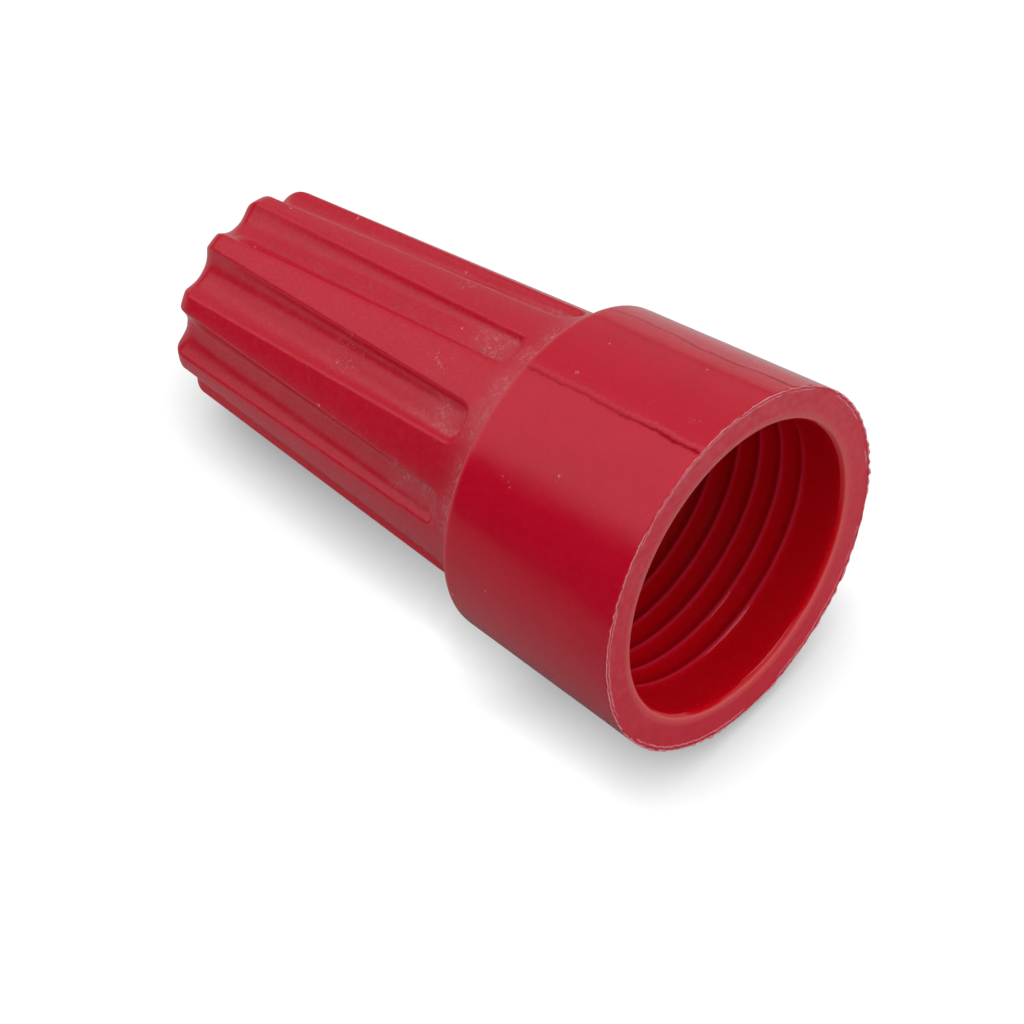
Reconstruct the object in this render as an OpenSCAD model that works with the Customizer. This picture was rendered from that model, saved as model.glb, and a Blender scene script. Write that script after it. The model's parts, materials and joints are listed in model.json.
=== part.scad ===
// Twist-on wire connector, lying on its side as it comes to rest on a table.
//
// It has two pieces. The shell is moulded in one shot: a smooth tapered skirt whose bore has a
// moulded thread, then a stepped-down tail with grip grooves and a rounded closed end. The spring
// is a cone of square steel wire pressed into the socket inside the tail, and it cuts into the
// twisted conductors. Nothing moves: the spring is held by the shell and turns with it.
//
// Frame: +Z is up and z = 0 is the table. +X points out of the mouth, seen from above. The axis
// leans mouth-up, because the spring puts the weight in the tail, so the shell touches the table
// at its shoulder and at the two tail ridges either side of the lowest groove. The origin is at
// the middle of the footprint box.

/* [Shell outside] */
// Outside diameter of the skirt at its mouth
mouth_od = 16.7; // [16.4:0.1:18]
// Outside diameter of the skirt at the shoulder
shoulder_od = 15; // [14.6:0.05:15.6]
// Distance from the mouth to the shoulder
skirt_len = 9.65; // [9.4:0.05:10]
// Diameter over the ridges where the tail leaves the shoulder
tail_root_od = 12.95; // [12.5:0.05:13.4]
// Diameter over the ridges where the closed end starts to round off
tail_end_od = 9.65; // [9.2:0.05:10.4]
// Length over all, from the mouth to the closed end
total_len = 27.7; // [27.5:0.1:30]
// Radius of the rounded corner of the closed end
end_corner_r = 0.9; // [0.5:0.1:1.5]

/* [Grip grooves] */
// Number of grooves around the tail, an even number so that one is on top and one below
groove_count = 10; // [8:2:12]
// Width of a groove at the closed end
groove_end_w = 2.2; // [1.6:0.1:2.3]
// Depth of a groove at the closed end
groove_end_depth = 0.65; // [0.4:0.05:0.75]
// Width of a groove near the shoulder
groove_root_w = 1.8; // [1.4:0.1:2]
// Depth of a groove near the shoulder
groove_root_depth = 0.4; // [0.3:0.05:0.5]
// Width of the plain band between the shoulder and the groove ends
band_w = 1.5; // [1:0.1:2.5]

/* [Bore and thread] */
// Diameter of the smooth bore inside the mouth
bore_d = 13.4; // [12.8:0.1:13.8]
// Size of the chamfer on the edge of the bore
bore_chamfer = 0.25; // [0.1:0.05:0.4]
// Depth at which the straight bore ends and starts to taper
lead_depth = 2; // [1.8:0.1:2.4]
// Depth of the thread's crest where the ridge starts to rise
thread_start = 1.95; // [1.8:0.05:2.4]
// Direction in which the ridge starts to rise, counted from the lowest line of the bore
thread_start_angle = 155; // [0:1:359]
// Diameter between the thread's roots at its inner end
thread_end_d = 12.7; // [12.4:0.1:13]
// Depth at which the thread ends
thread_depth = 8.4; // [7.5:0.1:8.6]
// Distance between neighbouring thread turns
thread_pitch = 1.09; // [0.9:0.01:1.3]
// Height of the thread ridge above the wall
thread_h = 0.2; // [0.1:0.05:0.3]
// Width of the thread ridge where it leaves the wall
thread_w = 0.4; // [0.3:0.05:0.5]

/* [Spring] */
// Depth at which the spring's socket starts
socket_depth = 10.4; // [10.3:0.1:11]
// Diameter of the socket where it starts
socket_mouth_d = 10; // [9.4:0.1:10.2]
// Diameter of the socket at its blind end
socket_end_d = 5.8; // [5.2:0.1:6.2]
// Depth of the socket's blind end
blind_depth = 25.4; // [25:0.1:26]
// Side of the square spring wire
wire_side = 0.9; // [0.7:0.05:1]
// Number of turns of the spring
spring_turns = 9.5; // [8:0.5:10]
// Gap between the spring and each end of its socket
spring_end_gap = 0.1; // [0.05:0.05:0.3]

/* [Hidden] */
$fn = 96;

// Radii of the turned outline
mouth_r = mouth_od / 2;
shoulder_r = shoulder_od / 2;
tail_root_r = tail_root_od / 2;
tail_end_r = tail_end_od / 2;
bore_r = bore_d / 2;
thread_end_r = thread_end_d / 2;
socket_mouth_r = socket_mouth_d / 2;
socket_end_r = socket_end_d / 2;
corner_depth = total_len - end_corner_r;
corner_steps = 8;

// Lean of the axis. The table touches the shoulder's edge and the rounded ends of the two lowest
// ridges, whose crests start half a groove's width from the lowest line of the tail.
ridge_drop = cos(asin(groove_end_w / 2 / tail_end_r));
function lean_after(lean, steps) =
    steps == 0 ? lean : lean_after(better_lean(lean), steps - 1);
function better_lean(lean) =
    atan((shoulder_r - (tail_end_r - end_corner_r) * ridge_drop
        - end_corner_r * norm([tan(lean), ridge_drop])) / (corner_depth - skirt_len));
rest_lean = lean_after(8, 12);

// The resting shell's height and footprint
axis_h = skirt_len * sin(rest_lean) + shoulder_r * cos(rest_lean);
front_x = mouth_r * sin(rest_lean);
rear_x = -corner_depth * cos(rest_lean) - (tail_end_r - end_corner_r) * ridge_drop * sin(rest_lean)
    - end_corner_r * norm([cos(rest_lean), ridge_drop * sin(rest_lean)]);
mid_x = (front_x + rear_x) / 2;

// Moves a shape from its own frame, where +Z points out of the mouth, the mouth's plane is z = 0
// and +X is the lowest line, to where it lies on the table.
module at_rest() {
    translate([-mid_x, 0, axis_h])
        rotate([0, 90 - rest_lean, 0])
            children();
}

// Radius over the ridges at a depth in the tail
function ridge_r(depth) =
    tail_root_r + (tail_end_r - tail_root_r) * (depth - skirt_len) / (corner_depth - skirt_len);

// Radius of the threaded wall at a depth
function wall_r(depth) =
    bore_r
    - (bore_r - thread_end_r) * max(0, depth - lead_depth) / (thread_depth - lead_depth);

// Radius of the spring's socket at a depth
function socket_r(depth) =
    socket_mouth_r
    + (socket_end_r - socket_mouth_r) * (depth - socket_depth) / (blind_depth - socket_depth);

// Half of the shell's turned section, outside first and then the bore
shell_outline = concat(
    [[mouth_r, 0], [shoulder_r, -skirt_len], [tail_root_r, -skirt_len]],
    [for (i = [0:corner_steps])
        let (turn = 90 * i / corner_steps)
        [tail_end_r - end_corner_r * (1 - cos(turn)), -corner_depth - end_corner_r * sin(turn)]],
    [[0, -total_len], [0, -blind_depth], [socket_end_r, -blind_depth]],
    [[socket_mouth_r, -socket_depth], [thread_end_r, -thread_depth], [bore_r, -lead_depth]],
    [[bore_r, -bore_chamfer], [bore_r + bore_chamfer, 0]]
);

// A groove is cut by a tapered round bar with a ball at its shoulder end. The bar's radius follows
// from the groove's width and depth.
function bar_r(width, depth) = (width * width / 4 + depth * depth) / (2 * depth);
root_bar_r = bar_r(groove_root_w, groove_root_depth);
end_bar_r = bar_r(groove_end_w, groove_end_depth);
bar_root_depth = skirt_len + band_w + groove_root_w / 2;
bar_root_offset = ridge_r(bar_root_depth) - groove_root_depth + root_bar_r;
bar_end_offset = tail_end_r - groove_end_depth + end_bar_r;
bar_len = norm([corner_depth - bar_root_depth, bar_root_offset - bar_end_offset]);
bar_lean = atan((bar_root_offset - bar_end_offset) / (corner_depth - bar_root_depth));
bar_reach = 1.15;

module groove_cutter() {
    translate([bar_root_offset, 0, -bar_root_depth]) {
        sphere(root_bar_r);
        rotate([0, 180 + bar_lean, 0])
            cylinder(
                h = bar_len * bar_reach,
                r1 = root_bar_r,
                r2 = root_bar_r + (end_bar_r - root_bar_r) * bar_reach
            );
    }
}

// Places a section's points, given as [outward, towards the mouth], on a right-hand helix
function on_helix(section, radius, depth, angle) = [
    for (p = section) [
        (radius + p[0]) * cos(angle),
        (radius + p[0]) * sin(angle),
        -depth + p[1]
    ]
];

// A closed solid through a row of rings that all have the same number of points
module sweep(rings) {
    sides = len(rings[0]);
    last = len(rings) - 1;
    walls = [
        for (i = [0:last - 1], j = [0:sides - 1])
            let (k = (j + 1) % sides)
            [i * sides + j, i * sides + k, (i + 1) * sides + k, (i + 1) * sides + j]
    ];
    caps = [
        [for (j = [sides - 1:-1:0]) j],
        [for (j = [0:sides - 1]) last * sides + j]
    ];
    polyhedron(points = [for (ring = rings) each ring], faces = concat(walls, caps));
}

// The moulded thread is one ridge of triangular section that rises out of the wall and sinks back
// into it over part of a turn. Its foot is sunk in the wall, so that the flat facets stay inside
// the wall between their corners.
thread_steps_per_turn = 24;
thread_foot = 0.2;
thread_foot_half_w = thread_w / 2 * (thread_h + thread_foot) / thread_h;
thread_sunk = thread_foot / 2;
thread_fade_turns = 0.15;
thread_turns = (thread_depth - thread_foot_half_w - thread_start) / thread_pitch;

module thread_ridge() {
    count = ceil(thread_turns * thread_steps_per_turn);
    sweep([
        for (i = [0:count])
            let (
                turn = thread_turns * i / count,
                depth = thread_start + thread_pitch * turn,
                fade = min(1, turn / thread_fade_turns, (thread_turns - turn) / thread_fade_turns),
                crest = (thread_h + thread_sunk) * fade - thread_sunk
            )
            on_helix(
                [[thread_foot, -thread_foot_half_w], [-crest, 0], [thread_foot, thread_foot_half_w]],
                wall_r(depth), depth, thread_start_angle - 360 * turn
            )
    ]);
}

module shell() {
    color("crimson")
        at_rest() {
            difference() {
                rotate_extrude()
                    polygon(shell_outline);
                for (i = [0:groove_count - 1])
                    rotate(360 * i / groove_count)
                        groove_cutter();
            }
            thread_ridge();
        }
}

// The spring's wire is square and stands on its corner: one corner bears on the socket's wall and
// the opposite one points at the conductors.
spring_steps_per_turn = 24;
wire_half = wire_side / sqrt(2);
spring_start = socket_depth + spring_end_gap + wire_half;
spring_end = blind_depth - spring_end_gap - wire_half;

module spring_insert() {
    count = ceil(spring_turns * spring_steps_per_turn);
    color("lightsteelblue")
        at_rest()
            sweep([
                for (i = [0:count])
                    let (depth = spring_start + (spring_end - spring_start) * i / count)
                    on_helix(
                        [[wire_half, 0], [0, -wire_half], [-wire_half, 0], [0, wire_half]],
                        socket_r(depth) - wire_half, depth, -360 * spring_turns * i / count
                    )
            ]);
}

shell();
spring_insert();
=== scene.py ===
"""Twist wire connector lying on a pale studio table: a red moulded shell and its steel spring.

Lengths are in millimetres until a mesh is made. Both pieces are drawn in the connector's own
terms: depth is measured from the mouth towards the closed end, and angles go round the axis from
the lowest line of the lying connector, towards +Y.
"""
import json
import math

import bmesh
import bpy
import numpy as np
from mathutils import Matrix, Vector


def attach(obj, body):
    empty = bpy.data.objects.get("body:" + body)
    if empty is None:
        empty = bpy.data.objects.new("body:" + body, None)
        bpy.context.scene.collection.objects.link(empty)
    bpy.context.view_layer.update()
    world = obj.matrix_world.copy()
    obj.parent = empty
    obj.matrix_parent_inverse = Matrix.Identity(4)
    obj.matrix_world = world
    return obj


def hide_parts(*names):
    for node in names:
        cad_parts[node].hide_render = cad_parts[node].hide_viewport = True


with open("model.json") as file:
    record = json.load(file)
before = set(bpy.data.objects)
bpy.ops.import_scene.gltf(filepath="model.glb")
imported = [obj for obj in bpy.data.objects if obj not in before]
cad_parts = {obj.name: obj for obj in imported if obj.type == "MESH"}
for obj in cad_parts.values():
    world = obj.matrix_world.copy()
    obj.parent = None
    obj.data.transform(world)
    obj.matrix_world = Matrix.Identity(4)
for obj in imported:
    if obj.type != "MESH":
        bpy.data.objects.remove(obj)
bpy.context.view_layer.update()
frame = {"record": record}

MM = 0.001

# Shell outside, as in the CAD part
MOUTH_R = 8.35
SHOULDER_R = 7.5
SKIRT_LEN = 9.65
TAIL_ROOT_R = 6.475
TAIL_END_R = 4.825
TOTAL_LEN = 27.7
END_CORNER_R = 0.9
CORNER_DEPTH = TOTAL_LEN - END_CORNER_R

# Bore, thread and spring socket, as in the CAD part, but with a lower and softer thread
BORE_R = 6.7
BORE_CHAMFER = 0.25
CHAMFER_R = BORE_R + BORE_CHAMFER
LEAD_DEPTH = 2.0
THREAD_END_R = 6.35
THREAD_DEPTH = 8.4
THREAD_START = 1.95
THREAD_START_ANGLE = math.radians(155)
THREAD_PITCH = 1.09
THREAD_H = 0.09
THREAD_HALF_W = 0.3
SOCKET_DEPTH = 10.4
SOCKET_MOUTH_R = 5.0
SOCKET_END_R = 2.9
BLIND_DEPTH = 25.4

# Grip grooves: flat-bottomed with steep walls near the shoulder, rounder and deeper at the end
GROOVE_COUNT = 10
GROOVE_END_HALF_W = 1.12
GROOVE_ROOT_HALF_W = 0.88
GROOVE_END_DEPTH = 0.65
GROOVE_ROOT_DEPTH = 0.38
GROOVE_END_POWER = 2.5
GROOVE_ROOT_POWER = 6.0
GROOVE_TIP_LEN = 0.75
GROOVE_EDGE = 0.045
BAND_W = 1.5

# Marks of the moulding: the gate's dimple, the flash round the mouth and the two flow lines
DIMPLE_R = 1.4
DIMPLE_DEPTH = 0.16
GATE_R = 0.45
GATE_H = 0.1
LIP_H = 0.07
LIP_OUT = 0.02
WAVY_FLOW_ANGLE = math.radians(147.5)
PLAIN_FLOW_ANGLE = math.radians(188)
FLOW_REACH = 1.5

# Spring, as in the CAD part, but just clear of its socket
WIRE_SIDE = 0.9
SPRING_TURNS = 9.5
SPRING_END_GAP = 0.1
SPRING_CLEARANCE = 0.02
WIRE_EASE = 0.16

# Steps round the shell's outside and along a turn of the spring, and the seed of every random draw
COLUMNS = 500
SPRING_STEPS = 72
SEED = 7


# ---------------------------------------------------------------- the connector's own frame

def mount(name):
    return next(m for m in frame["record"]["mounts"] if m["name"] == name)


AXIS = Vector(mount("wire_bore")["axis"]).normalized()
SIDE = Vector((0, 1, 0))
DOWN = SIDE.cross(AXIS)
BORE_POINT = Vector(mount("wire_bore")["pos_m"])
FACE_POINT = Vector(mount("mouth_face")["pos_m"])
MOUTH = BORE_POINT + AXIS * (FACE_POINT - BORE_POINT).dot(AXIS)


def place(depth, radius, angle):
    """Points in metres in the part's frame, from arrays of depth, radius and angle."""
    along = -np.asarray(depth)[..., None] * MM * np.array(AXIS)
    out = np.cos(angle)[..., None] * np.array(DOWN) + np.sin(angle)[..., None] * np.array(SIDE)
    return np.array(MOUTH) + along + np.asarray(radius)[..., None] * MM * out


def smooth(x):
    x = np.clip(x, 0, 1)
    return x * x * (3 - 2 * x)


def bump(x, width):
    """A bell of height 1 at x = 0."""
    return np.exp(-((x / width) ** 2))


def ripple(angle, depth, seed, waves=14, turns=(2, 30), per_mm=(0.1, 1.2)):
    """A smooth random field between about -1 and 1 that closes on itself round the axis."""
    draw = np.random.default_rng(seed)
    field = 0
    for _ in range(waves):
        around = draw.integers(*turns)
        along = draw.uniform(*per_mm) * draw.choice([-1, 1])
        field = field + np.sin(around * angle + along * depth + draw.uniform(0, 2 * math.pi))
    return field / math.sqrt(waves)


# ---------------------------------------------------------------- shell outline

def straight(start, end, rows):
    """Rows from start up to but not including end, each a point of [depth, radius]."""
    t = np.arange(rows)[:, None] / rows
    return np.array(start) * (1 - t) + np.array(end) * t


def arc(centre, radius, first, last, rows):
    """Rows along an arc, both ends included. Angle 0 is outwards and 90 is deeper."""
    t = np.radians(np.linspace(first, last, rows))
    return np.stack([centre[0] + radius * np.sin(t), centre[1] + radius * np.cos(t)], 1)


def tail_r(depth):
    share = (depth - SKIRT_LEN) / (CORNER_DEPTH - SKIRT_LEN)
    return TAIL_ROOT_R + (TAIL_END_R - TAIL_ROOT_R) * share


def skirt_r(depth):
    return MOUTH_R + (SHOULDER_R - MOUTH_R) * depth / SKIRT_LEN


def wall_r(depth):
    share = np.maximum(0, depth - LEAD_DEPTH) / (THREAD_DEPTH - LEAD_DEPTH)
    return BORE_R - (BORE_R - THREAD_END_R) * share


def on(line, depth):
    return depth, float(line(depth))


def outside_rows():
    """From the middle of the closed end to the outer edge of the mouth."""
    fillet, edge = 0.22, 0.1
    pole_r = 0.2
    end_flat_r = TAIL_END_R - END_CORNER_R
    groove_end = SKIRT_LEN + BAND_W
    return np.concatenate([
        straight((TOTAL_LEN, pole_r), (TOTAL_LEN, 1.6), 7),
        straight((TOTAL_LEN, 1.6), (TOTAL_LEN, end_flat_r), 4),
        arc((CORNER_DEPTH, end_flat_r), END_CORNER_R, 90, 0, 12),
        straight(on(tail_r, CORNER_DEPTH - 0.3), on(tail_r, groove_end + 1.2), 26),
        straight(on(tail_r, groove_end + 1.2), on(tail_r, groove_end - 0.1), 22),
        straight(on(tail_r, groove_end - 0.1), on(tail_r, SKIRT_LEN + fillet + 0.1), 5),
        arc((SKIRT_LEN + fillet, TAIL_ROOT_R + fillet), fillet, 180, 270, 6),
        arc((SKIRT_LEN - edge, SHOULDER_R - edge), edge, 90, 5, 5),
        straight(on(skirt_r, SKIRT_LEN - 0.25), on(skirt_r, 0.3), 22),
        straight(on(skirt_r, 0.3), on(skirt_r, 0.02), 5),
    ])


def rim_rows():
    """The mouth's flat ring, from its outer edge to the chamfer of the bore."""
    return np.concatenate([
        straight((0.0, MOUTH_R), (0.0, MOUTH_R - 0.24), 6),
        straight((0.0, MOUTH_R - 0.24), (0.0, CHAMFER_R + 0.03), 4),
    ])


def inside_rows():
    """The chamfer, bore, threaded wall, throat and the spring's socket, to the blind end."""
    return np.concatenate([
        straight((0.0, CHAMFER_R - 0.02), (0.03, CHAMFER_R - 0.09), 3),
        straight((0.03, CHAMFER_R - 0.09), (0.17, BORE_R + 0.02), 3),
        straight((0.17, BORE_R + 0.02), (BORE_CHAMFER, BORE_R), 2),
        straight((BORE_CHAMFER, BORE_R), (1.4, BORE_R), 4),
        straight(on(wall_r, 1.4), on(wall_r, LEAD_DEPTH), 9),
        straight(on(wall_r, LEAD_DEPTH), on(wall_r, THREAD_DEPTH), 98),
        straight(on(wall_r, THREAD_DEPTH), (SOCKET_DEPTH, SOCKET_MOUTH_R), 7),
        straight((SOCKET_DEPTH, SOCKET_MOUTH_R), (BLIND_DEPTH, SOCKET_END_R), 12),
        straight((BLIND_DEPTH, SOCKET_END_R), (BLIND_DEPTH, 0.4), 3),
    ])


# ---------------------------------------------------------------- shell relief

def groove_cut(depth, angle):
    """Depth of the grip grooves below the ridges, and a mark that is 1 on a groove's floor."""
    share = np.clip((depth - SKIRT_LEN) / (CORNER_DEPTH - SKIRT_LEN), 0, 1)
    half_w = GROOVE_ROOT_HALF_W + (GROOVE_END_HALF_W - GROOVE_ROOT_HALF_W) * share
    full = GROOVE_ROOT_DEPTH + (GROOVE_END_DEPTH - GROOVE_ROOT_DEPTH) * share
    power = GROOVE_ROOT_POWER + (GROOVE_END_POWER - GROOVE_ROOT_POWER) * share ** 0.7
    pitch = 2 * math.pi / GROOVE_COUNT
    across = np.abs(tail_r(depth) * ((angle + pitch / 2) % pitch - pitch / 2)) / half_w
    tip = np.maximum(0, SKIRT_LEN + BAND_W + GROOVE_TIP_LEN - depth) / GROOVE_TIP_LEN
    reach = (across ** 3 + tip ** 3) ** (1 / 3)
    open_depth = full * (1 - reach ** power)
    cut = (open_depth + np.sqrt(open_depth ** 2 + GROOVE_EDGE ** 2)) / 2
    return cut, smooth((0.9 - reach) / 0.25)


def from_thread(depth, angle):
    """How much deeper a point of the bore lies than the nearest crest, and how full the thread
    is there: it fades out at both ends."""
    turns = (THREAD_DEPTH - THREAD_HALF_W - THREAD_START) / THREAD_PITCH
    back = ((angle - THREAD_START_ANGLE) / (2 * math.pi)) % 1.0
    turn = np.round((depth - THREAD_START) / THREAD_PITCH + back) - back
    off = depth - THREAD_START - THREAD_PITCH * turn
    return off, smooth(np.minimum(turn, turns - turn) / 0.3)


def thread_height(depth, angle):
    """Height of the helical thread ridge above the wall: a thin crest on a soft swell."""
    off, fade = from_thread(depth, angle)
    return THREAD_H * fade * (0.55 * bump(off, 0.1) + 0.45 * bump(off, THREAD_HALF_W))


def thread_highlight_and_shade(depth, angle):
    """1 on the thread's crest, where a highlight is painted, and below 0 where shade is painted on
    the deeper side of it.
    """
    off, fade = from_thread(depth, angle)
    return fade * (bump(off, 0.07) - 0.7 * bump(off - 0.24, 0.13))


def flow_lines(depth, angle):
    """Two flow lines down the skirt: the distance across the nearer one, and its strength."""
    wavy = WAVY_FLOW_ANGLE - 0.02 * np.sin(0.9 * depth + 1.2) + 0.006 * np.sin(2.9 * depth)
    plain = PLAIN_FLOW_ANGLE + 0.004 * np.sin(1.7 * depth)
    over_wavy, over_plain = MOUTH_R * (angle - wavy), MOUTH_R * (angle - plain)
    nearer = np.abs(over_wavy) < np.abs(over_plain)
    wavy_strength = 0.65 + 0.35 * bump(depth - 1.2, 3.0)
    plain_strength = 0.55 + 0.45 * smooth((5.5 - depth) / 4)
    return (np.clip(np.where(nearer, over_wavy, over_plain), -FLOW_REACH, FLOW_REACH),
            np.where(nearer, wavy_strength, plain_strength))


def lip_height(angle):
    """The ragged flash round the mouth's outer edge, mostly thin with a few torn steps."""
    fine = 0.5 + 0.5 * ripple(angle, 0 * angle, SEED + 1, waves=24, turns=(12, 110))
    coarse = smooth(0.5 + 0.9 * ripple(angle, 0 * angle, SEED + 2, waves=9, turns=(2, 16)))
    return (0.25 + 0.75 * coarse) * np.clip(fine, 0.1, 1.3)


def grid(rows, columns):
    """Rows of [depth, radius] spread round the axis: arrays of depth, radius and angle."""
    angle = np.linspace(0, 2 * math.pi, columns, endpoint=False)[None, :]
    return (np.repeat(rows[:, :1], columns, 1), np.repeat(rows[:, 1:], columns, 1),
            np.repeat(angle, len(rows), 0))


def tube_faces(rows, columns, first=0):
    """Quads of a tube of rings, whose points are numbered from first."""
    faces = []
    for i in range(rows - 1):
        a = first + i * columns
        b = a + columns
        faces += [(a + j, a + (j + 1) % columns, b + (j + 1) % columns, b + j)
                  for j in range(columns)]
    return faces


def make_shell():
    outline, rim, bore = outside_rows(), rim_rows(), inside_rows()
    depth, radius, angle = grid(np.concatenate([outline, rim]), COLUMNS)
    is_rim = np.arange(len(depth))[:, None] >= len(outline)

    # Grip grooves, which run out over the corner of the closed end and fade on its face
    on_tail = (depth > SKIRT_LEN + 0.3) & ~is_rim
    cut, floor = groove_cut(np.minimum(depth, CORNER_DEPTH), angle)
    face_fade = np.clip(radius / (TAIL_END_R - END_CORNER_R), 0, 1) ** 3
    cut = cut * np.where(depth > CORNER_DEPTH, face_fade, 1)
    radius = radius - np.where(on_tail, cut, 0)
    floor = np.where(on_tail, floor, 0)

    # The closed end has the gate's dimple, with the broken gate in its middle
    on_end = depth > TOTAL_LEN - 0.001
    dimple = DIMPLE_DEPTH * smooth((DIMPLE_R - radius) / 0.35) - GATE_H * bump(radius, GATE_R)
    depth = depth - on_end * dimple

    # The skirt isn't quite true
    on_skirt = (depth < SKIRT_LEN - 0.2) & ~is_rim
    waves = 0.0025 * ripple(angle, depth, SEED, turns=(3, 40), per_mm=(0.2, 1.4))
    radius = radius + np.where(on_skirt, waves, 0)
    flow, flow_strength = flow_lines(depth, angle)

    # Flash left by the mould round the mouth's outer edge
    lip = lip_height(angle)
    on_lip = bump(radius - MOUTH_R, 0.1) * (depth < 0.01)
    depth = depth - LIP_H * lip * on_lip
    radius = radius + LIP_OUT * lip * on_lip

    # Inside, half as many columns are enough, and a ring of five-sided faces joins the two
    half = COLUMNS // 2
    deep, wide, turn = grid(bore, half)
    threaded = (deep > LEAD_DEPTH - 1) & (deep < THREAD_DEPTH + 0.3)
    wide = wide - np.where(threaded, thread_height(deep, turn), 0)
    poles = np.array([TOTAL_LEN - DIMPLE_DEPTH + GATE_H, BLIND_DEPTH])
    points = np.concatenate([place(depth, radius, angle).reshape(-1, 3),
                             place(deep, wide, turn).reshape(-1, 3),
                             place(poles, np.zeros(2), np.zeros(2))])
    start = len(depth) * COLUMNS
    last = start - COLUMNS
    pole = len(points) - 2
    end = pole - half
    faces = tube_faces(len(depth), COLUMNS) + tube_faces(len(deep), half, start)
    faces += [(last + 2 * j, last + 2 * j + 1, last + (2 * j + 2) % COLUMNS,
               start + (j + 1) % half, start + j) for j in range(half)]
    faces += [(pole, (j + 1) % COLUMNS, j) for j in range(COLUMNS)]
    faces += [(pole + 1, end + j, end + (j + 1) % half) for j in range(half)]

    # The marks that the material reads, each outside and then inside. from_edge is the distance
    # from the mouth's outer edge and flow the distance across a flow line; the others run from 0
    # to 1, except for the thread's, which is below 0 in its shade.
    tail = smooth((depth - SKIRT_LEN + 0.1) / 0.2) * ~is_rim
    corner = bump(depth - SKIRT_LEN - 0.35, 0.75) * tail
    ends = bump(depth - SKIRT_LEN - BAND_W - 1.0, 1.6) * floor
    shoulder = bump(depth - SKIRT_LEN + 0.03, 0.06) * (radius > SHOULDER_R - 0.13) * ~is_rim
    marks = {
        "tail": (tail, 0 * deep),
        "dust": (np.clip(0.9 * corner + 0.5 * ends + 0.07 * floor, 0, 1), 0 * deep),
        "rim": (is_rim + 0 * depth, 0 * deep),
        # high: the ring's upper half, where a paler colour is painted as light falling from above
        "high": ((0.5 - 0.5 * np.cos(angle)) * is_rim, 0 * deep),
        "from_edge": (np.where(is_rim, MOUTH_R - radius, -depth), 0 * deep + 1),
        # thread: a highlight painted on the crests and shade painted on their deeper sides
        "thread": (0 * depth, np.where(threaded, thread_highlight_and_shade(deep, turn), 0)),
        # edge: a thin highlight painted on the shoulder's edge and the chamfer's edge
        "edge": (shoulder, bump(deep - 0.02, 0.035)),
        "inside": (0 * depth, 0 * deep + 1),
        # flow: the distance across a flow line, whose fold gets painted shade and whose raised
        # neighbour a painted highlight
        "flow": (flow, 0 * deep + 1),
        "flow_strength": (flow_strength * on_skirt, 0 * deep),
    }
    marks = {name: np.append(np.concatenate([out.reshape(-1), into.reshape(-1)]),
                             [out[0, 0], into[-1, 0]]) for name, (out, into) in marks.items()}
    return new_piece("shell_moulding", points, faces, marks)


def new_piece(name, points, faces, marks):
    """A smooth-shaded mesh with its faces outwards and a float attribute for each mark."""
    mesh = bpy.data.meshes.new(name)
    mesh.from_pydata([tuple(p) for p in points], [], faces)
    work = bmesh.new()
    work.from_mesh(mesh)
    bmesh.ops.recalc_face_normals(work, faces=work.faces)
    work.to_mesh(mesh)
    work.free()
    mesh.shade_smooth()
    for mark, values in marks.items():
        layer = mesh.attributes.new(mark, "FLOAT", "POINT")
        layer.data.foreach_set("value", np.asarray(values, np.float32))
    piece = bpy.data.objects.new(name, mesh)
    bpy.context.scene.collection.objects.link(piece)
    return piece


# ---------------------------------------------------------------- spring

def make_spring():
    """The conical coil of square wire, standing on its corner, with sheared ends."""
    half = WIRE_SIDE / math.sqrt(2)
    first = SOCKET_DEPTH + SPRING_END_GAP + half
    last = BLIND_DEPTH - SPRING_END_GAP - half
    rings = int(SPRING_TURNS * SPRING_STEPS)
    share = np.linspace(0, 1, rings)
    depth = first + (last - first) * share
    socket = SOCKET_MOUTH_R + (SOCKET_END_R - SOCKET_MOUTH_R) * (
        (depth - SOCKET_DEPTH) / (BLIND_DEPTH - SOCKET_DEPTH))
    middle = socket - half - SPRING_CLEARANCE
    angle = -2 * math.pi * SPRING_TURNS * share

    # The wire's section has each corner eased by a chamfer
    far = 1 - WIRE_EASE
    section = []
    for out, deep in ((1, 0), (0, 1), (-1, 0), (0, -1)):
        section += [(out * far + deep * WIRE_EASE, deep * far - out * WIRE_EASE),
                    (out * far - deep * WIRE_EASE, deep * far + out * WIRE_EASE)]
    section = np.array(section) * half
    sides = len(section)
    points = place(depth[:, None] + section[None, :, 1], middle[:, None] + section[None, :, 0],
                   np.repeat(angle[:, None], sides, 1)).reshape(-1, 3)
    faces = tube_faces(rings, sides)
    faces.append(tuple(range(sides - 1, -1, -1)))
    faces.append(tuple((rings - 1) * sides + j for j in range(sides)))
    return new_piece("spring_coil", points, faces, {})


# ---------------------------------------------------------------- materials

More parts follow.
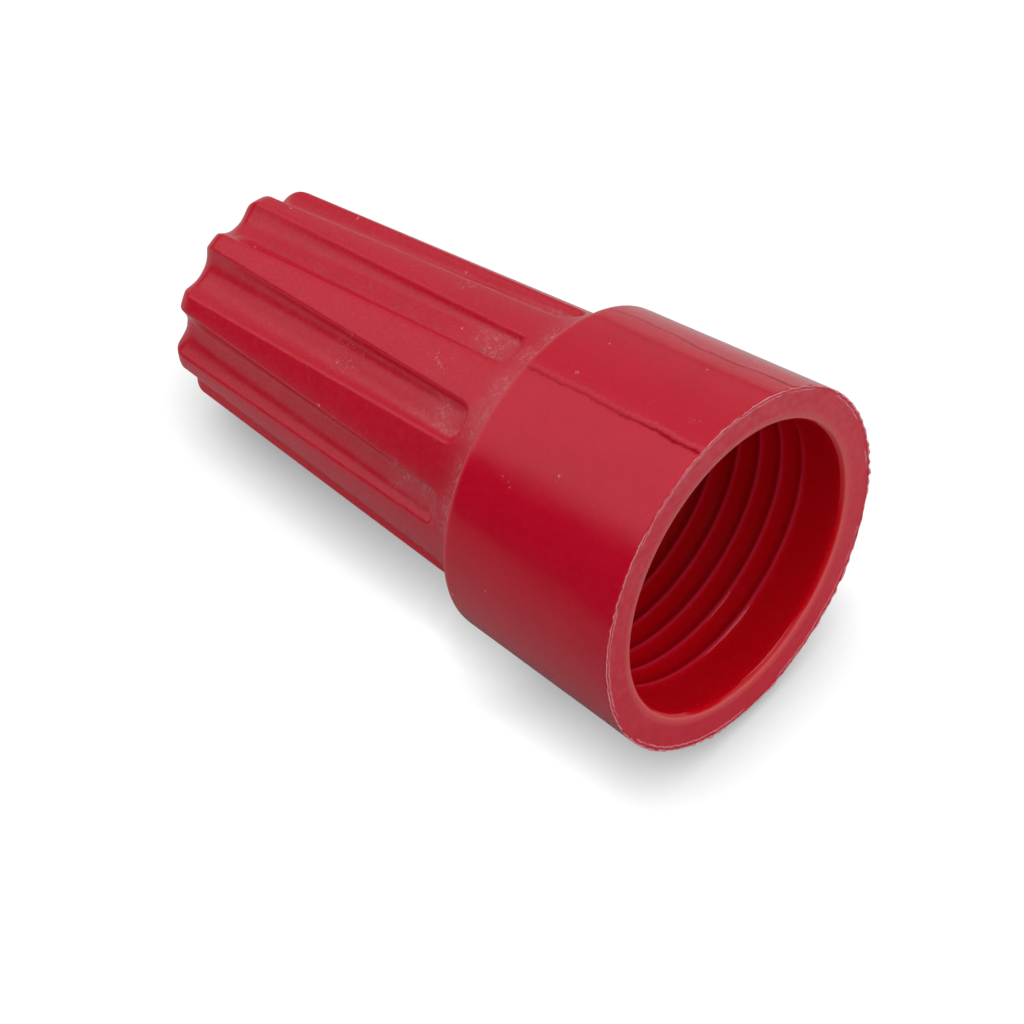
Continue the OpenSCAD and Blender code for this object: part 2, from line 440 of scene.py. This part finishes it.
class Nodes:
    """A short way to write a material's node tree."""

    def __init__(self, name):
        self.material = bpy.data.materials.new(name)
        self.material.use_nodes = True
        self.tree = self.material.node_tree
        self.shader = self.tree.nodes["Principled BSDF"]

    def add(self, kind, inputs=None, **settings):
        node = self.tree.nodes.new("ShaderNode" + kind)
        for key, value in settings.items():
            setattr(node, key, value)
        for key, value in (inputs or {}).items():
            self.put(node.inputs[key], value)
        return node

    def put(self, socket, value):
        if isinstance(value, bpy.types.NodeSocket):
            self.tree.links.new(value, socket)
        else:
            socket.default_value = value

    def math(self, operation, a, b, clamp=False):
        return self.add("Math", {0: a, 1: b}, operation=operation, use_clamp=clamp).outputs[0]

    def mul(self, a, b):
        return self.math("MULTIPLY", a, b)

    def plus(self, a, b, clamp=False):
        return self.math("ADD", a, b, clamp)

    def mark(self, name):
        return self.add("Attribute", attribute_name=name).outputs["Fac"]

    def noise(self, coords, scale, detail=2.0, rough=0.5, twist=0.0):
        return self.add("TexNoise", {"Vector": coords, "Scale": scale, "Detail": detail,
                                     "Roughness": rough, "Distortion": twist}).outputs["Fac"]

    def band(self, value, low, high):
        """0 at low and 1 at high, smoothly."""
        return self.add("MapRange", {"Value": value, "From Min": low, "From Max": high},
                        interpolation_type="SMOOTHSTEP").outputs["Result"]

    def ridge(self, value, middle, half_w):
        """1 at middle, falling smoothly to 0 half_w away from it."""
        away = self.math("ABSOLUTE", self.math("SUBTRACT", value, middle), 0.0)
        return self.band(away, half_w, 0.0)

    def mix(self, share, a, b):
        node = self.add("Mix", data_type="RGBA")
        self.put(node.inputs["Factor"], share)
        self.put(node.inputs["A"], a)
        self.put(node.inputs["B"], b)
        return node.outputs["Result"]

    def millimetres(self):
        where = self.add("TexCoord").outputs["Object"]
        return self.add("Mapping", {"Vector": where, "Scale": (1000, 1000, 1000)}).outputs["Vector"]

    def lengthwise(self, where, scale):
        """Coordinates turned so that X runs along the connector's axis, then scaled."""
        lean = math.atan2(AXIS.z, AXIS.x)
        turned = self.add("Mapping", {"Vector": where, "Rotation": (0, lean, 0)}).outputs["Vector"]
        return self.add("Mapping", {"Vector": turned, "Scale": scale}).outputs["Vector"]

    def spot(self, where, depth, radius, angle, reach):
        """1 near a place on the shell, given by its depth, radius and angle in degrees."""
        centre = place(np.array(depth), np.array(radius), np.array(math.radians(angle))) / MM
        away = self.add("VectorMath", {0: where, 1: tuple(centre)}, operation="DISTANCE")
        return self.band(away.outputs["Value"], reach, reach * 0.25)


# The red plastic's colours
DEEP_RED = (0.51, 0.0005, 0.017, 1)
MID_RED = (0.61, 0.002, 0.027, 1)
INSIDE_RED = (0.60, 0.0005, 0.004, 1)
RING_PINK = (0.80, 0.13, 0.18, 1)
FLASH_HIGHLIGHT = (0.86, 0.42, 0.46, 1)
FLASH_SHADE = (0.34, 0.0, 0.012, 1)
CREST_HIGHLIGHT = (0.80, 0.08, 0.22, 1)
THREAD_SHADE = (0.28, 0.0, 0.002, 1)
EDGE_HIGHLIGHT = (0.80, 0.25, 0.25, 1)
FOLD_SHADE = (0.25, 0.0, 0.007, 1)
FOLD_HIGHLIGHT = (0.80, 0.30, 0.32, 1)
DUST_PINK = (0.78, 0.50, 0.54, 1)
SPECK_PINK = (0.85, 0.55, 0.55, 1)

# Where the shell is scuffed: depth, radius, angle in degrees and reach
SCUFFS = (
    (13.9, 6.05, 199, 1.0), (18.3, 5.3, 215, 1.3), (13.6, 5.8, 249, 1.3), (12.6, 5.8, 181, 1.2),
    (16.0, 5.8, 158, 0.7), (7.4, 7.7, 222, 0.35), (1.4, 8.2, 179, 0.4), (3.1, 8.1, 256, 0.35),
)


def red_plastic():
    n = Nodes("red_plastic")
    where = n.millimetres()
    tail, dust, rim = n.mark("tail"), n.mark("dust"), n.mark("rim")
    edge, inside, thread = n.mark("edge"), n.mark("inside"), n.mark("thread")

    # Colour: a deep red with faint cloudy flow, a faintly mottled mouth's ring whose upper half is
    # painted paler, and painted highlights on the thin flash
    cloud = n.noise(where, 0.6, 4.0, 0.6)
    body = n.mix(cloud, DEEP_RED, MID_RED)
    body = n.mix(n.mul(inside, 0.8), body, INSIDE_RED)
    mottle = n.band(n.noise(where, 2.2, 5.0, 0.7), 0.35, 0.7)
    # The ring's upper half is painted paler, as light falling from above
    ring = n.mul(n.mark("high"), n.plus(0.12, n.mul(mottle, 0.26)))
    ring = n.plus(ring, n.mul(rim, n.mul(mottle, 0.06)))
    marks_and_painted_light = n.mix(ring, body, RING_PINK)
    # Pale lines are painted along the thin flash as its highlights, with a line of painted shade
    # between them
    ragged = n.mul(n.math("SUBTRACT", n.noise(where, 2.6, 6.0, 0.75), 0.5), 0.30)
    across = n.plus(n.mark("from_edge"), ragged)
    flash = n.ridge(across, 0.02, 0.055)
    second = n.mul(n.ridge(across, 0.19, 0.05), n.band(n.noise(where, 0.45), 0.42, 0.52))
    marks_and_painted_light = n.mix(n.mul(n.ridge(across, 0.105, 0.05), 0.45), marks_and_painted_light, FLASH_SHADE)
    marks_and_painted_light = n.mix(n.mul(flash, 0.75), marks_and_painted_light, FLASH_HIGHLIGHT)
    marks_and_painted_light = n.mix(n.mul(second, 0.6), marks_and_painted_light, FLASH_HIGHLIGHT)

    # Highlights are painted paler on the thread's crests and the sharp edges, and shade is painted
    # darker on the thread's deeper sides
    crest = n.math("MAXIMUM", thread, 0.0)
    shade = n.math("MAXIMUM", n.mul(thread, -1.0), 0.0)
    marks_and_painted_light = n.mix(n.mul(crest, 0.30), marks_and_painted_light, CREST_HIGHLIGHT)
    marks_and_painted_light = n.mix(n.mul(shade, 0.65), marks_and_painted_light, THREAD_SHADE)
    marks_and_painted_light = n.mix(n.mul(edge, 0.35), marks_and_painted_light, EDGE_HIGHLIGHT)

    # Flow lines: shade painted dark in a sunk fold, and a highlight painted pale on a raised one
    # beside it
    flow, flow_strength = n.mark("flow"), n.mark("flow_strength")
    wobble = n.plus(flow, n.mul(n.math("SUBTRACT", n.noise(where, 3.0, 5.0, 0.75), 0.5), 0.45))
    fold = n.mul(n.ridge(wobble, 0.0, 0.15), flow_strength)
    beside = n.mul(n.ridge(wobble, -0.28, 0.13), flow_strength)
    marks_and_painted_light = n.mix(n.mul(fold, 0.8), marks_and_painted_light, FOLD_SHADE)
    marks_and_painted_light = n.mix(n.mul(beside, 0.07), marks_and_painted_light, FOLD_HIGHLIGHT)
    n.put(n.shader.inputs["Specular IOR Level"], n.math("SUBTRACT", 0.5, n.mul(fold, 0.45)))

    # Dust settled in the corner behind the shoulder and in the grooves, and scuffs on the grip
    patch = n.band(n.noise(where, 0.9, 4.0, 0.7), 0.38, 0.66)
    powder = n.mul(n.band(n.noise(where, 6.0, 6.0, 0.85), 0.44, 0.66), patch)
    settled = n.mul(dust, n.plus(0.16, n.mul(powder, 1.2)))
    scuffed = n.spot(where, *SCUFFS[0])
    for scuff in SCUFFS[1:]:
        scuffed = n.math("MAXIMUM", scuffed, n.spot(where, *scuff))
    scuffs = n.mul(scuffed, n.band(n.noise(where, 5.0, 6.0, 0.75, 1.5), 0.56, 0.66))
    haze = n.plus(settled, n.mul(scuffs, 0.9), clamp=True)
    grain = n.band(n.noise(where, 5.5, 4.0, 0.7), 0.42, 0.72)
    bloom = n.mul(grain, n.plus(0.012, n.mul(tail, 0.014)))
    dust_and_painted_light = n.mix(n.plus(n.mul(haze, 0.55), bloom, clamp=True), marks_and_painted_light, DUST_PINK)

    # A few small pale specks outside
    cells = n.add("TexVoronoi", {"Vector": where, "Scale": 0.55, "Randomness": 1.0})
    near = n.band(cells.outputs["Distance"], 0.06, 0.03)
    chip = n.mul(near, n.band(n.noise(where, 14.0), 0.5, 0.58))
    speck = n.mul(chip, n.math("SUBTRACT", 0.6, n.mul(inside, 0.6)))
    n.put(n.shader.inputs["Base Color"], n.mix(speck, dust_and_painted_light, SPECK_PINK))

    # Roughness: glossy skirt and bore, satin tail, matte ring
    rough = n.plus(0.075, n.mul(tail, 0.11))
    rough = n.plus(rough, n.mul(rim, 0.30))
    rough = n.plus(rough, n.mul(haze, 0.35))
    rough = n.plus(rough, n.mul(n.noise(where, 3.0, 4.0, 0.7), 0.05))
    n.put(n.shader.inputs["Roughness"], rough)

    # Relief: fine moulding grain, stronger on the tail, faint lengthwise draw marks, and dust
    fine = n.noise(where, 11.0, 3.0, 0.6)
    streak = n.noise(n.lengthwise(where, (0.25, 4.0, 4.0)), 1.2, 3.0, 0.6)
    height = n.mul(fine, n.plus(0.45, n.mul(tail, 0.55)))
    height = n.plus(height, n.mul(n.math("SUBTRACT", beside, fold), 0.8))
    height = n.plus(height, n.mul(streak, 0.35))
    height = n.plus(height, n.mul(haze, 1.2))
    relief = n.add("Bump", {"Height": height, "Strength": 0.3, "Distance": 0.00002})
    n.put(n.shader.inputs["Normal"], relief.outputs["Normal"])

    n.shader.inputs["IOR"].default_value = 1.5
    n.shader.inputs["Subsurface Weight"].default_value = 0.12
    n.shader.inputs["Subsurface Radius"].default_value = (1.0, 0.10, 0.08)
    n.shader.inputs["Subsurface Scale"].default_value = 0.0008
    return n.material


def zinc_steel():
    n = Nodes("zinc_steel")
    where = n.millimetres()
    cloud = n.noise(where, 1.5, 4.0, 0.65)
    n.put(n.shader.inputs["Base Color"],
          n.mix(cloud, (0.50, 0.51, 0.53, 1), (0.72, 0.73, 0.75, 1)))
    n.shader.inputs["Metallic"].default_value = 1.0
    n.put(n.shader.inputs["Roughness"], n.plus(0.18, n.mul(n.noise(where, 6.0, 4.0, 0.7), 0.25)))
    relief = n.add("Bump", {"Height": n.noise(where, 14.0, 3.0), "Strength": 0.25,
                            "Distance": 0.00002})
    n.put(n.shader.inputs["Normal"], relief.outputs["Normal"])
    return n.material


# The table's painted shadow: how near something counts as covering the table, in metres, and the
# shares of open sky that its glow grows between. The lower one is below 0, so that nowhere is quite
# black.
SHADOW_REACH = 0.0035
SHADOW_BLACK = -0.06
SHADOW_CLEAR = 0.96

# The pool of light painted on the reflected table: how far from its middle, in metres, it starts
# and ends its fall to dark
LIT_NEAR = 0.155
LIT_FAR = 0.21
UNLIT = (0.03, 0.03, 0.03, 1)


def pale_sheet(name, low, high, glow=0.0, painted_shadow=False, lit_round=None):
    """A matte sheet with a barely visible cloudiness. It can glow evenly, or with a shadow painted
    where something stands close above it. Away from lit_round its colour falls off to dark, a
    painted pool of light."""
    n = Nodes(name)
    where = n.add("TexCoord").outputs["Object"]
    colour = n.mix(n.noise(where, 30.0), (low, low, low, 1), (high, high, high, 1))
    if lit_round:
        # A painted pool of light: the colour falls to dark away from lit_round
        away = n.add("VectorMath", {0: where, 1: lit_round}, operation="DISTANCE")
        colour = n.mix(n.band(away.outputs["Value"], LIT_NEAR, LIT_FAR), colour, UNLIT)
    n.put(n.shader.inputs["Base Color"], colour)
    n.shader.inputs["Roughness"].default_value = 0.8
    n.shader.inputs["Emission Color"].default_value = (1, 1, 1, 1)
    n.shader.inputs["Emission Strength"].default_value = glow
    if painted_shadow:
        # The shadow is painted: the glow falls where things close above cover the table's open sky
        sky = n.add("AmbientOcclusion", {"Distance": SHADOW_REACH}, samples=16).outputs["AO"]
        lit = n.add("MapRange", {"Value": sky, "From Min": SHADOW_BLACK,
                                 "From Max": SHADOW_CLEAR, "To Max": glow}).outputs["Result"]
        n.put(n.shader.inputs["Emission Strength"], lit)
    n.material.cycles.emission_sampling = "NONE"
    return n.material


# ---------------------------------------------------------------- studio

CAMERA_TARGET = Vector((2.940, -2.250, 5.854)) * MM
CAMERA_AZIMUTH = 40.626
CAMERA_ELEVATION = 54.899
CAMERA_DISTANCE = 0.33388
CAMERA_LENS = 281.25
SENSOR_WIDTH = 36

LIGHTS_TARGET = Vector((0, 0, 0.008))
TABLE_HALF = 1.3
BACKDROP_R = 1.25
BACKDROP_SIDES = 48
BACKDROP_HEIGHTS = (-0.05, 1.3)


def direction(azimuth, elevation):
    """Unit vector towards a place seen from the part. Azimuth 0 is in front, at -Y."""
    a, e = math.radians(azimuth), math.radians(elevation)
    return Vector((math.sin(a) * math.cos(e), -math.cos(a) * math.cos(e), math.sin(e)))


def look_from(obj, place_at, target):
    turn = (target - place_at).to_track_quat("-Z", "Y").to_matrix().to_4x4()
    obj.matrix_world = Matrix.Translation(place_at) @ turn


def make_camera():
    """A long lens, looking down at the mouth's side of the connector."""
    data = bpy.data.cameras.new("camera")
    data.sensor_width = SENSOR_WIDTH
    data.lens = CAMERA_LENS
    data.clip_start, data.clip_end = 0.01, 20
    camera = bpy.data.objects.new("camera", data)
    bpy.context.scene.collection.objects.link(camera)
    away = direction(CAMERA_AZIMUTH, CAMERA_ELEVATION) * CAMERA_DISTANCE
    look_from(camera, CAMERA_TARGET + away, CAMERA_TARGET)
    bpy.context.scene.camera = camera


def soft_box(name, azimuth, elevation, distance, width, height, radiance, fade=0.0, fill=False):
    """A rectangular light of a given brightness, facing the part, with lengths in metres. It dims
    towards its left and right edges, over the share of its width that fade gives. A fill light
    isn't reflected."""
    data = bpy.data.lights.new(name, "AREA")
    data.shape = "RECTANGLE"
    data.size, data.size_y = width, height
    data.energy = radiance * math.pi * width * height
    if fade:
        data.use_nodes = True
        tree = data.node_tree
        across = tree.nodes.new("ShaderNodeNewGeometry").outputs["Parametric"]
        parts = tree.nodes.new("ShaderNodeSeparateXYZ")
        from_edge = tree.nodes.new("ShaderNodeMath")
        from_edge.operation = "PINGPONG"
        from_edge.inputs[1].default_value = 0.5
        ramp = tree.nodes.new("ShaderNodeMapRange")
        ramp.interpolation_type = "SMOOTHSTEP"
        ramp.inputs["From Min"].default_value = 0.0
        ramp.inputs["From Max"].default_value = fade
        tree.links.new(across, parts.inputs[0])
        tree.links.new(parts.outputs["X"], from_edge.inputs[0])
        tree.links.new(from_edge.outputs[0], ramp.inputs["Value"])
        tree.links.new(ramp.outputs["Result"], tree.nodes["Emission"].inputs["Strength"])
    lamp = bpy.data.objects.new(name, data)
    bpy.context.scene.collection.objects.link(lamp)
    lamp.visible_glossy = not fill
    look_from(lamp, direction(azimuth, elevation) * distance, LIGHTS_TARGET)


def stage_sheet(name, points, faces, material):
    mesh = bpy.data.meshes.new(name)
    mesh.from_pydata(points, [], faces)
    mesh.materials.append(material)
    obj = bpy.data.objects.new(name, mesh)
    bpy.context.scene.collection.objects.link(obj)
    return obj


def make_studio():
    # The table glows brightly and evenly, with a shadow painted near the part, so that only that
    # shadow shows on it. A duller sheet just below stands in for it in reflections and for the
    # light it throws back, with a pool of light painted on it that falls to dark further out.
    size = TABLE_HALF
    square = [(-size, -size), (size, -size), (size, size), (-size, size)]
    table = stage_sheet("table", [(x, y, 0.0) for x, y in square], [(0, 1, 2, 3)],
                        pale_sheet("pale_table", 0.02, 0.04, glow=1.02, painted_shadow=True))
    table.visible_glossy = table.visible_diffuse = table.visible_shadow = False
    below = stage_sheet("table_below", [(x, y, -0.00002) for x, y in square], [(0, 1, 2, 3)],
                        pale_sheet("table_below", 0.53, 0.55, lit_round=(-0.10, 0.13, 0)))
    below.visible_camera = False

    # A pale backdrop stands round the table, seen only directly
    sides = BACKDROP_SIDES
    turns = [2 * math.pi * i / sides for i in range(sides)]
    points = [(BACKDROP_R * math.cos(t), BACKDROP_R * math.sin(t), z)
              for z in BACKDROP_HEIGHTS for t in turns]
    wall = [(i, (i + 1) % sides, sides + (i + 1) % sides, sides + i) for i in range(sides)]
    backdrop = stage_sheet("backdrop", points, wall,
                           pale_sheet("pale_backdrop", 0.02, 0.03, glow=1.0))
    backdrop.visible_glossy = backdrop.visible_diffuse = backdrop.visible_shadow = False

    world = bpy.data.worlds.new("studio")
    bpy.context.scene.world = world
    world.use_nodes = True
    world.node_tree.nodes["Background"].inputs["Color"].default_value = (1, 1, 1, 1)
    world.node_tree.nodes["Background"].inputs["Strength"].default_value = 0.28
    world.cycles_visibility.glossy = False

    # Azimuth, elevation, distance, width, height and brightness
    soft_box("key", -77, 38, 0.70, 0.87, 0.56, 0.80, fade=0.3)
    soft_box("left", -129, 20, 0.70, 0.68, 0.70, 0.40, fade=0.25)
    soft_box("top", 150, 76, 0.80, 0.80, 0.60, 1.3)
    soft_box("right", 112, 30, 0.80, 0.90, 0.60, 0.5)
    soft_box("fill_top", -155, 66, 0.80, 1.00, 1.00, 0.57, fill=True)
    soft_box("fill_front", -12, 6, 0.60, 0.80, 0.50, 1.25, fill=True)
    soft_box("fill_right", 95, 12, 0.60, 1.00, 0.30, 1.55, fill=True)
    bpy.context.scene.view_settings.view_transform = "Standard"


# ---------------------------------------------------------------- assembly

make_camera()
make_studio()

shell = make_shell()
shell.data.materials.append(red_plastic())
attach(shell, "root")
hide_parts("shell")

spring = make_spring()
spring.data.materials.append(zinc_steel())
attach(spring, "root")
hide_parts("spring_insert")
